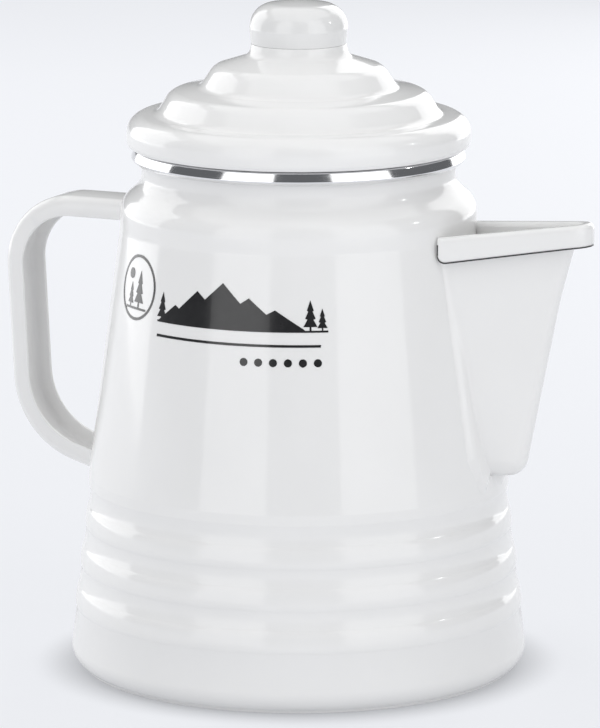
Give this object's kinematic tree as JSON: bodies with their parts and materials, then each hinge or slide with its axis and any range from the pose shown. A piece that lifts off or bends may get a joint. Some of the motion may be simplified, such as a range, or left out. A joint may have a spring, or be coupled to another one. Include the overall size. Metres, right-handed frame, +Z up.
{
  "type": "coffee percolator",
  "caption": "White enamelled stovetop percolator with a V spout, channel handle, stepped lid with a knob, and a lift-out pump stem with coffee basket and spreader.",
  "frame": {"origin": "centre of the overall box at the flat bottom the pot stands on; the pot's axis passes through it", "axes": "+Z up along the pot's axis, +X towards the spout, -X towards the handle"},
  "size_m": [0.1998, 0.1462, 0.215],
  "materials": {
    "white_enamel": "gloss",
    "bright_trim": "polished",
    "knob_white": "gloss",
    "silicone": "matt",
    "stainless": "satin"
  },
  "bodies": {
    "pot": {"pot_body": "white_enamel", "pot_bottom": "white_enamel", "rim_ring": "bright_trim", "spout": "white_enamel", "handle": "white_enamel"},
    "lid": {"lid_shell": "white_enamel", "lid_collar": "stainless"},
    "knob": {"knob": "knob_white", "knob_gasket": "silicone"},
    "pump": {"pump_stem": "stainless", "stem_foot": "stainless", "stem_stop": "stainless"},
    "basket": {"basket_cup": "stainless", "basket_sleeve": "stainless"},
    "spreader": {"spreader_plate": "stainless"}
  },
  "joints": [
    {"name": "lid_lift", "type": "slide", "parent": "pot", "child": "lid", "axis": [0, 0, 1], "range_m": [0, 0.24]},
    {"name": "knob_twist", "type": "hinge", "parent": "lid", "child": "knob", "pos_m": [0, 0, 0.2015], "axis": [0, 0, 1], "range_deg": [0, 90]},
    {"name": "pump_lift", "type": "slide", "parent": "pot", "child": "pump", "axis": [0, 0, 1], "range_m": [0, 0.168]},
    {"name": "basket_lift", "type": "slide", "parent": "pump", "child": "basket", "axis": [0, 0, 1], "range_m": [0, 0.024]},
    {"name": "spreader_lift", "type": "slide", "parent": "basket", "child": "spreader", "axis": [0, 0, 1], "range_m": [0, 0.024]}
  ],
  "couplings": [
    {"joint": "pump_lift", "follows": "lid_lift", "ratio": 0.7},
    {"joint": "basket_lift", "follows": "lid_lift", "ratio": 0.1},
    {"joint": "spreader_lift", "follows": "lid_lift", "ratio": 0.1}
  ]
}
